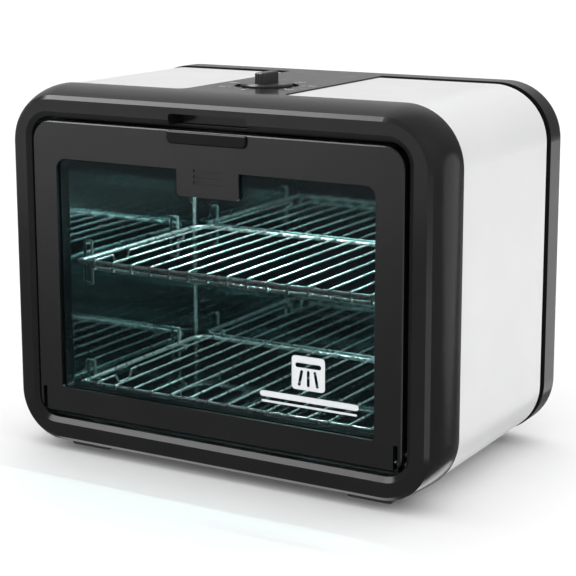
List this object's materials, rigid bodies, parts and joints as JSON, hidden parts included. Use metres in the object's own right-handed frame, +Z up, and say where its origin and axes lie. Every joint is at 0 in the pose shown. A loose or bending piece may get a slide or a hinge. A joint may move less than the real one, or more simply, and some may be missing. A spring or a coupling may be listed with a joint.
{
  "type": "uv sterilizer cabinet",
  "caption": "Counter-top ultraviolet sterilizer cabinet with a drop-down window door, mirrored chamber, wire racks and a timer knob on top.",
  "frame": {"origin": "on the counter under the middle of the whole object's box", "axes": "+X to the right seen from the front, -Y towards the user (the door faces -Y), +Z up"},
  "size_m": [0.38, 0.226, 0.3022],
  "materials": {
    "black_plastic": "semi-gloss moulded ABS",
    "door_plastic": "fine satin moulded ABS",
    "knob_plastic": "satin moulded ABS",
    "white_paint": "smooth white powder coat",
    "dark_paint": "black powder coat",
    "rubber_black": "matte",
    "zinc_screws": "zinc plated",
    "mirror_steel": "mirror polished stainless sheet",
    "chromed_wire": "bright chromed",
    "clear_pane": "lightly tinted acrylic",
    "lamp_glass": "clear quartz, glowing blue-green when lit",
    "lamp_metal": "satin",
    "white_plastic": "moulded",
    "magnet_ferrite": "sintered",
    "timer_case": "moulded phenolic",
    "iron_core": "varnished laminated core",
    "zinc_sheet": "galvanised",
    "wire_insulation": "PVC insulation"
  },
  "bodies": {
    "cabinet": {"front_frame": "black_plastic", "left_side_shell": "white_paint", "right_side_shell": "white_paint", "top_panel": "black_plastic", "rear_frame": "black_plastic", "back_panel": "dark_paint", "cord_grommet": "rubber_black", "base_pan": "dark_paint", "front_left_foot": "rubber_black", "front_right_foot": "rubber_black", "rear_left_foot": "rubber_black", "rear_right_foot": "rubber_black", "foot_screws": "zinc_screws", "frame_screws": "zinc_screws", "back_screws": "zinc_screws", "chamber_mask": "mirror_steel", "chamber_right_wall": "mirror_steel", "chamber_left_wall": "mirror_steel", "chamber_ceiling": "mirror_steel", "chamber_floor": "mirror_steel", "chamber_rear_wall": "mirror_steel", "lower_rack_hooks": "chromed_wire", "upper_rack_hooks": "chromed_wire", "magnet_catch": "magnet_ferrite", "reed_switch": "white_plastic", "timer_body": "timer_case", "timer_nut": "zinc_screws", "uv_tube": "lamp_glass", "tube_end_caps": "lamp_metal", "lamp_holders": "white_plastic", "lamp_reflector": "mirror_steel", "ballast": "iron_core", "lamp_starter": "white_plastic", "bay_shelf": "zinc_sheet", "terminal_block": "white_plastic", "internal_wiring": "wire_insulation"},
    "door": {"door_frame": "door_plastic", "door_hinge_pins": "door_plastic", "door_window": "clear_pane", "door_retainer": "black_plastic", "door_screws": "zinc_screws", "door_handle": "door_plastic", "handle_screws": "zinc_screws", "door_strike_plate": "zinc_screws", "door_seal": "rubber_black", "switch_magnet": "magnet_ferrite"},
    "lower_shelf": {"lower_rack": "chromed_wire"},
    "upper_shelf": {"upper_rack": "chromed_wire"},
    "timer_knob": {"timer_knob": "knob_plastic", "timer_shaft": "zinc_screws"}
  },
  "joints": [
    {"name": "door_hinge", "type": "hinge", "parent": "cabinet", "child": "door", "pos_m": [0, -0.105, 0.0446], "axis": [1, 0, 0], "range_deg": [0, 90]},
    {"name": "upper_rack_lift", "type": "slide", "parent": "cabinet", "child": "upper_shelf", "axis": [0, 0, 1], "range_m": [0, 0.06]},
    {"name": "lower_rack_lift", "type": "slide", "parent": "cabinet", "child": "lower_shelf", "axis": [0, 0, 1], "range_m": [0, 0.08]},
    {"name": "timer_turn", "type": "hinge", "parent": "cabinet", "child": "timer_knob", "pos_m": [0, -0.025, 0.2936], "axis": [0, 0, -1], "range_deg": [0, 300]}
  ]
}
